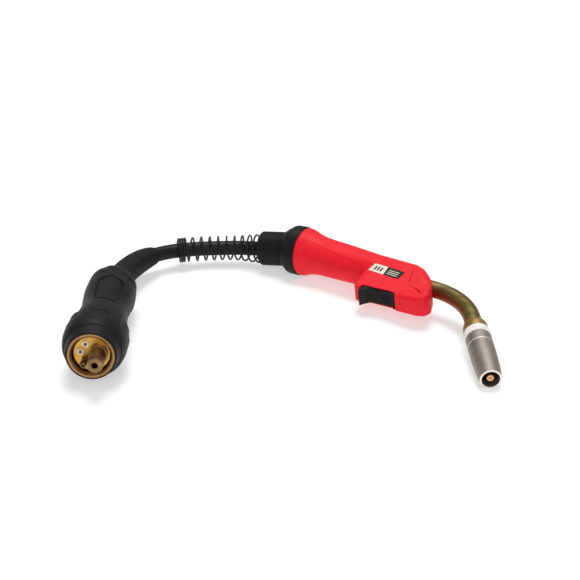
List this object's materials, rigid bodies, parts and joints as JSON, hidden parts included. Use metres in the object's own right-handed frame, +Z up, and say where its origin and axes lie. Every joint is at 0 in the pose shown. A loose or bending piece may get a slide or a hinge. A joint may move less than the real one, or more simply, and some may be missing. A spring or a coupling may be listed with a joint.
{
  "type": "mig welding torch",
  "caption": "Hand-held MIG welding torch with a swan neck, nozzle, trigger, flexible cable and a threaded central plug.",
  "frame": {"origin": "middle of the torch head (handle, neck, nozzle and rear barrel) on the table plane, without the cord and its plug", "axes": "+X along the handle from the cable end to the neck, -Y to the trigger and nozzle side, +Z up from the table"},
  "size_m": [0.4176, 0.3454, 0.0577],
  "materials": {
    "shell_red": "satin moulded red plastic",
    "black_plastic": "fine-textured black nylon",
    "black_rubber": "matt black rubber",
    "label": "two-tone printed plate",
    "white_insulator": "glass-filled white plastic",
    "nozzle_metal": "turned and nickel plated",
    "brass": "turned",
    "dull_brass": "tarnished",
    "copper": "copper",
    "steel": "bright zinc",
    "dark_steel": "black plastic coated",
    "silver": "silver plated"
  },
  "bodies": {
    "handle": {"handle_shell_top": "shell_red", "handle_shell_bottom": "shell_red", "label_plate": "label", "handle_screws": "dark_steel", "trigger_pin": "steel", "trigger_spring": "steel", "switch_body": "black_plastic", "power_joint": "brass", "cable_core": "copper", "rear_collar": "black_plastic", "neck_outer_tube": "dull_brass", "neck_inner_tube": "brass", "neck_end_collar": "dull_brass", "insulator_ring": "white_insulator", "tip_holder": "brass", "contact_tip": "copper"},
    "nozzle": {"gas_nozzle": "nozzle_metal"},
    "trigger": {"trigger": "black_plastic"},
    "plunger": {"switch_plunger": "white_insulator"},
    "cable_side": {"ball_barrel": "black_plastic", "kink_spring": "dark_steel", "cable": "black_rubber", "rubber_boot": "black_rubber", "plug_housing": "black_plastic", "plug_rear_cap": "black_plastic", "plug_screws": "dark_steel", "plug_body": "brass", "main_pin": "copper", "gas_nipple": "dull_brass", "gas_nipple_o_ring": "black_rubber", "signal_pins": "brass", "signal_bushes": "silver"},
    "nut": {"hand_nut": "black_plastic", "thread_insert": "brass"}
  },
  "joints": [
    {"name": "trigger_pull", "type": "hinge", "parent": "handle", "child": "trigger", "pos_m": [0.0155, 0.01251, 0.02152], "axis": [0, 0.1728, -0.985], "range_deg": [0, 4], "stiffness_Nm_per_rad": 1.2, "springref_deg": -5.16},
    {"name": "switch_press", "type": "slide", "parent": "handle", "child": "plunger", "axis": [0, 0.985, 0.1728], "range_m": [0, 0.0015]},
    {"name": "nozzle_pull_off", "type": "slide", "parent": "handle", "child": "nozzle", "axis": [0.6626, -0.7377, -0.1294], "range_m": [0, 0.04]},
    {"name": "ball_swing", "type": "hinge", "parent": "handle", "child": "cable_side", "pos_m": [-0.12682, 0.03454, 0.02538], "axis": [0, 0, 1], "range_deg": [-17, 1.5]},
    {"name": "nut_turn", "type": "hinge", "parent": "cable_side", "child": "nut", "pos_m": [-0.1043, -0.2684, 0.0306], "axis": [0.6422, -0.7653, 0.0436], "continuous": true}
  ],
  "couplings": [
    {"joint": "switch_press", "follows": "trigger_pull", "m_per_rad": 0.0194}
  ]
}
